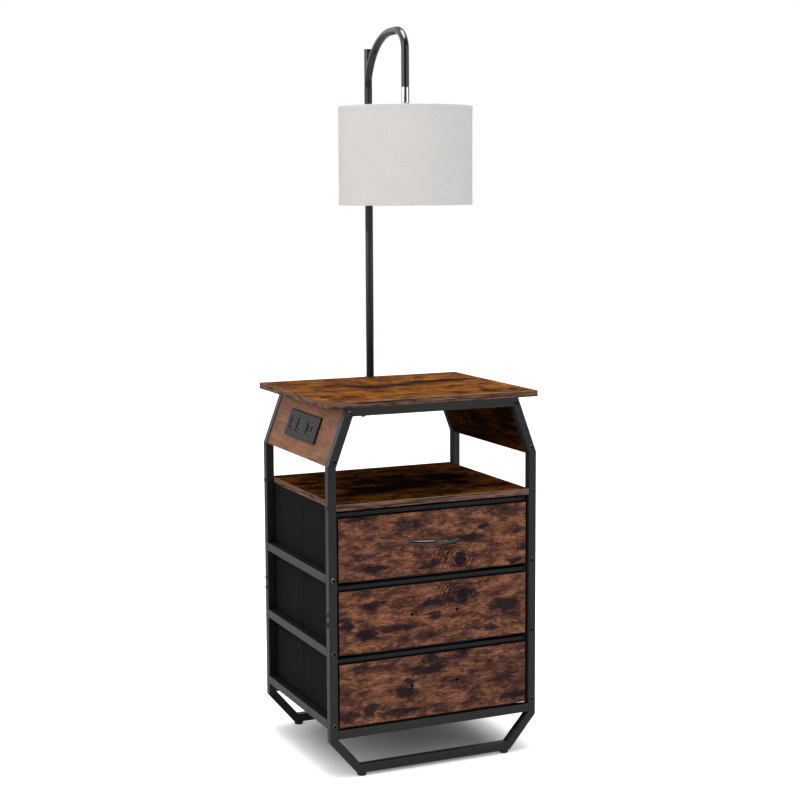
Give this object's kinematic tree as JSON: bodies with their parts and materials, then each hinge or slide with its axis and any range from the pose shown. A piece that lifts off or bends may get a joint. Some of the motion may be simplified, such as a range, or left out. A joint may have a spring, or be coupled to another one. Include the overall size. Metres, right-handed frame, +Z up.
{
  "type": "bedside table with swing arm lamp",
  "caption": "Bedside table: square-tube frame with chamfered corners, wood boards, open shelf, sliding fabric drawers, side socket strip, and a pole with a swinging arched arm and drum shade.",
  "frame": {"origin": "middle of the whole object's footprint, on the floor", "axes": "+Z up; +Y to the rear, so the drawers open towards -Y; +X to the right seen from the front"},
  "size_m": [0.445, 0.389, 1.4328],
  "materials": {
    "frame_black": "matt black powder coat",
    "sleeve_steel": "plain drawn tube",
    "screw_black": "blackened steel",
    "foot_rubber": "black moulded glide",
    "top_wood": "rustic printed wood grain, satin",
    "shelf_wood": "rustic printed wood grain, satin",
    "panel_wood": "rustic printed wood grain, satin",
    "drawer_wood": "dark knotted printed wood grain, satin",
    "strip_plastic": "dark grey moulded plastic",
    "socket_plastic": "dark grey moulded plastic",
    "bin_fabric": "black non-woven cloth over card",
    "base_board": "thin fibreboard",
    "gloss_black": "gloss black lacquer",
    "zinc_steel": "zinc plated",
    "chrome": "polished",
    "holder_plastic": "black moulded plastic",
    "bulb_glass": "frosted white",
    "shade_linen": "light grey linen weave on a stiff liner"
  },
  "bodies": {
    "stand": {"front_upper_frame": "frame_black", "rear_upper_frame": "frame_black", "front_lower_frame": "frame_black", "rear_lower_frame": "frame_black", "left_rail_top": "frame_black", "left_rail_middle": "frame_black", "left_rail_bottom": "frame_black", "right_rail_top": "frame_black", "right_rail_middle": "frame_black", "right_rail_bottom": "frame_black", "post_sleeves": "sleeve_steel", "rail_bolts": "screw_black", "end_panel_screws": "screw_black", "shelf_screws": "screw_black", "top_board_screws": "screw_black", "sleeve_screws": "screw_black", "foot_pads": "foot_rubber", "top_board": "top_wood", "shelf_board": "shelf_wood", "left_end_panel": "panel_wood", "right_end_panel": "panel_wood", "strip_faceplate": "strip_plastic", "strip_housing": "strip_plastic", "strip_gland": "strip_plastic", "ac_outlets": "socket_plastic", "usb_outlet": "socket_plastic", "lamp_base_flange": "gloss_black", "lower_pole": "gloss_black", "upper_pole": "gloss_black", "lamp_base_stud": "zinc_steel", "lamp_base_washer": "zinc_steel", "lamp_base_nut": "zinc_steel", "pole_coupler": "zinc_steel", "swivel_pin": "zinc_steel"},
    "drawer_top": {"drawer_top_front": "drawer_wood", "drawer_top_fabric_bin": "bin_fabric", "drawer_top_base_board": "base_board", "handle": "gloss_black", "handle_screws": "screw_black"},
    "drawer_middle": {"drawer_middle_front": "drawer_wood", "drawer_middle_fabric_bin": "bin_fabric", "drawer_middle_base_board": "base_board"},
    "drawer_bottom": {"drawer_bottom_front": "drawer_wood", "drawer_bottom_fabric_bin": "bin_fabric", "drawer_bottom_base_board": "base_board"},
    "lamp_head": {"swing_arm": "gloss_black", "lamp_stem": "chrome", "lamp_nipple": "zinc_steel", "socket_cap": "holder_plastic", "lamp_socket": "holder_plastic", "bulb": "bulb_glass", "shade_fabric": "shade_linen", "shade_rings": "zinc_steel", "shade_spider": "zinc_steel"}
  },
  "joints": [
    {"name": "drawer_top_slide", "type": "slide", "parent": "stand", "child": "drawer_top", "axis": [0, -1, 0], "range_m": [0, 0.24]},
    {"name": "drawer_middle_slide", "type": "slide", "parent": "stand", "child": "drawer_middle", "axis": [0, -1, 0], "range_m": [0, 0.24]},
    {"name": "drawer_bottom_slide", "type": "slide", "parent": "stand", "child": "drawer_bottom", "axis": [0, -1, 0], "range_m": [0, 0.24]},
    {"name": "lamp_swing", "type": "hinge", "parent": "stand", "child": "lamp_head", "pos_m": [0.015, 0.17425, 1.3207], "axis": [0, 0, 1], "range_deg": [-160, 160]}
  ]
}
